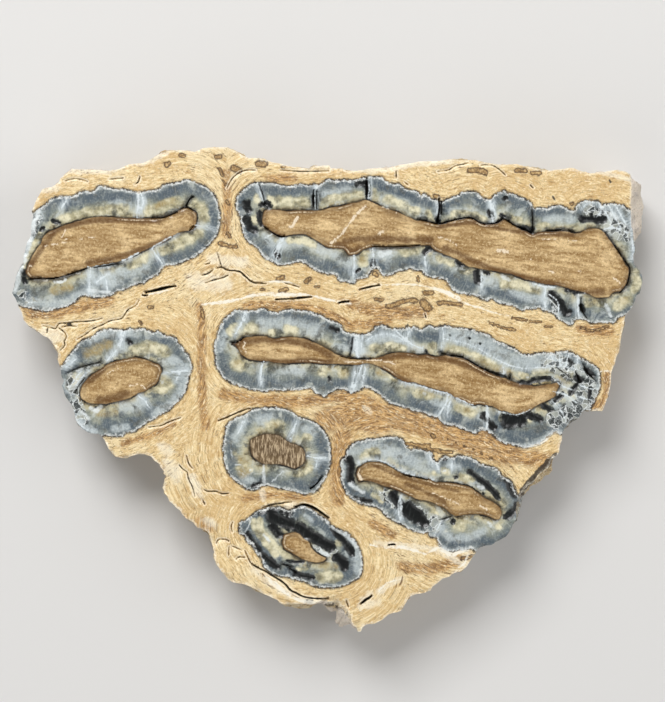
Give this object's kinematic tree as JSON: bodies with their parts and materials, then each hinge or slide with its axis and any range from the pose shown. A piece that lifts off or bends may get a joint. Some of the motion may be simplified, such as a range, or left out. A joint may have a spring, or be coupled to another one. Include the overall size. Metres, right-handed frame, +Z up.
{
  "type": "fossil mammoth tooth slice",
  "caption": "Polished slab sawn across a fossil mammoth molar, to show enamel plates, dentine cores and cementum; lies flat for display.",
  "frame": {"origin": "middle of the slice's bounding box, on the sawn back it lies on", "axes": "+Z up out of the polished face, +X along the longest way across the slice, +Y towards its long straight edge"},
  "size_m": [0.0888, 0.0681, 0.01],
  "materials": {
    "fossil_tooth": "polished"
  },
  "bodies": {
    "root": {"tooth_slice": "fossil_tooth"}
  },
  "joints": []
}
